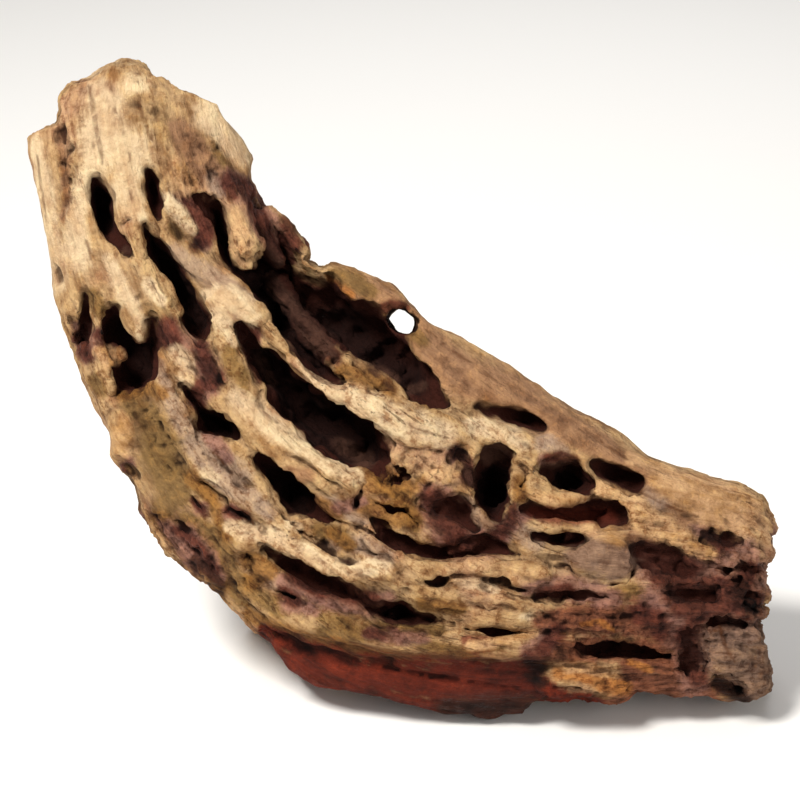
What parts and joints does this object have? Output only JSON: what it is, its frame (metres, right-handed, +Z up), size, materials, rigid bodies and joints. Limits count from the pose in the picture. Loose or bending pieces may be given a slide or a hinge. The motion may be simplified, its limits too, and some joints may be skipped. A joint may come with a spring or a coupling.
{
  "type": "aquascape driftwood",
  "caption": "Bent, hollowed piece of weathered driftwood that stands on three low points of its underside, for an aquarium or a planted scape.",
  "frame": {"origin": "centre of the box's bottom, on the surface that the wood stands on", "axes": "+X along the longest side of the box, from the tall end to the broken end; +Z up; the hollowed front looks towards -Y"},
  "size_m": [0.285, 0.127, 0.2341],
  "materials": {
    "wood": "dry weathered wood, pale on the ribs and dark in the hollows"
  },
  "bodies": {
    "root": {"driftwood": "wood"}
  },
  "joints": []
}
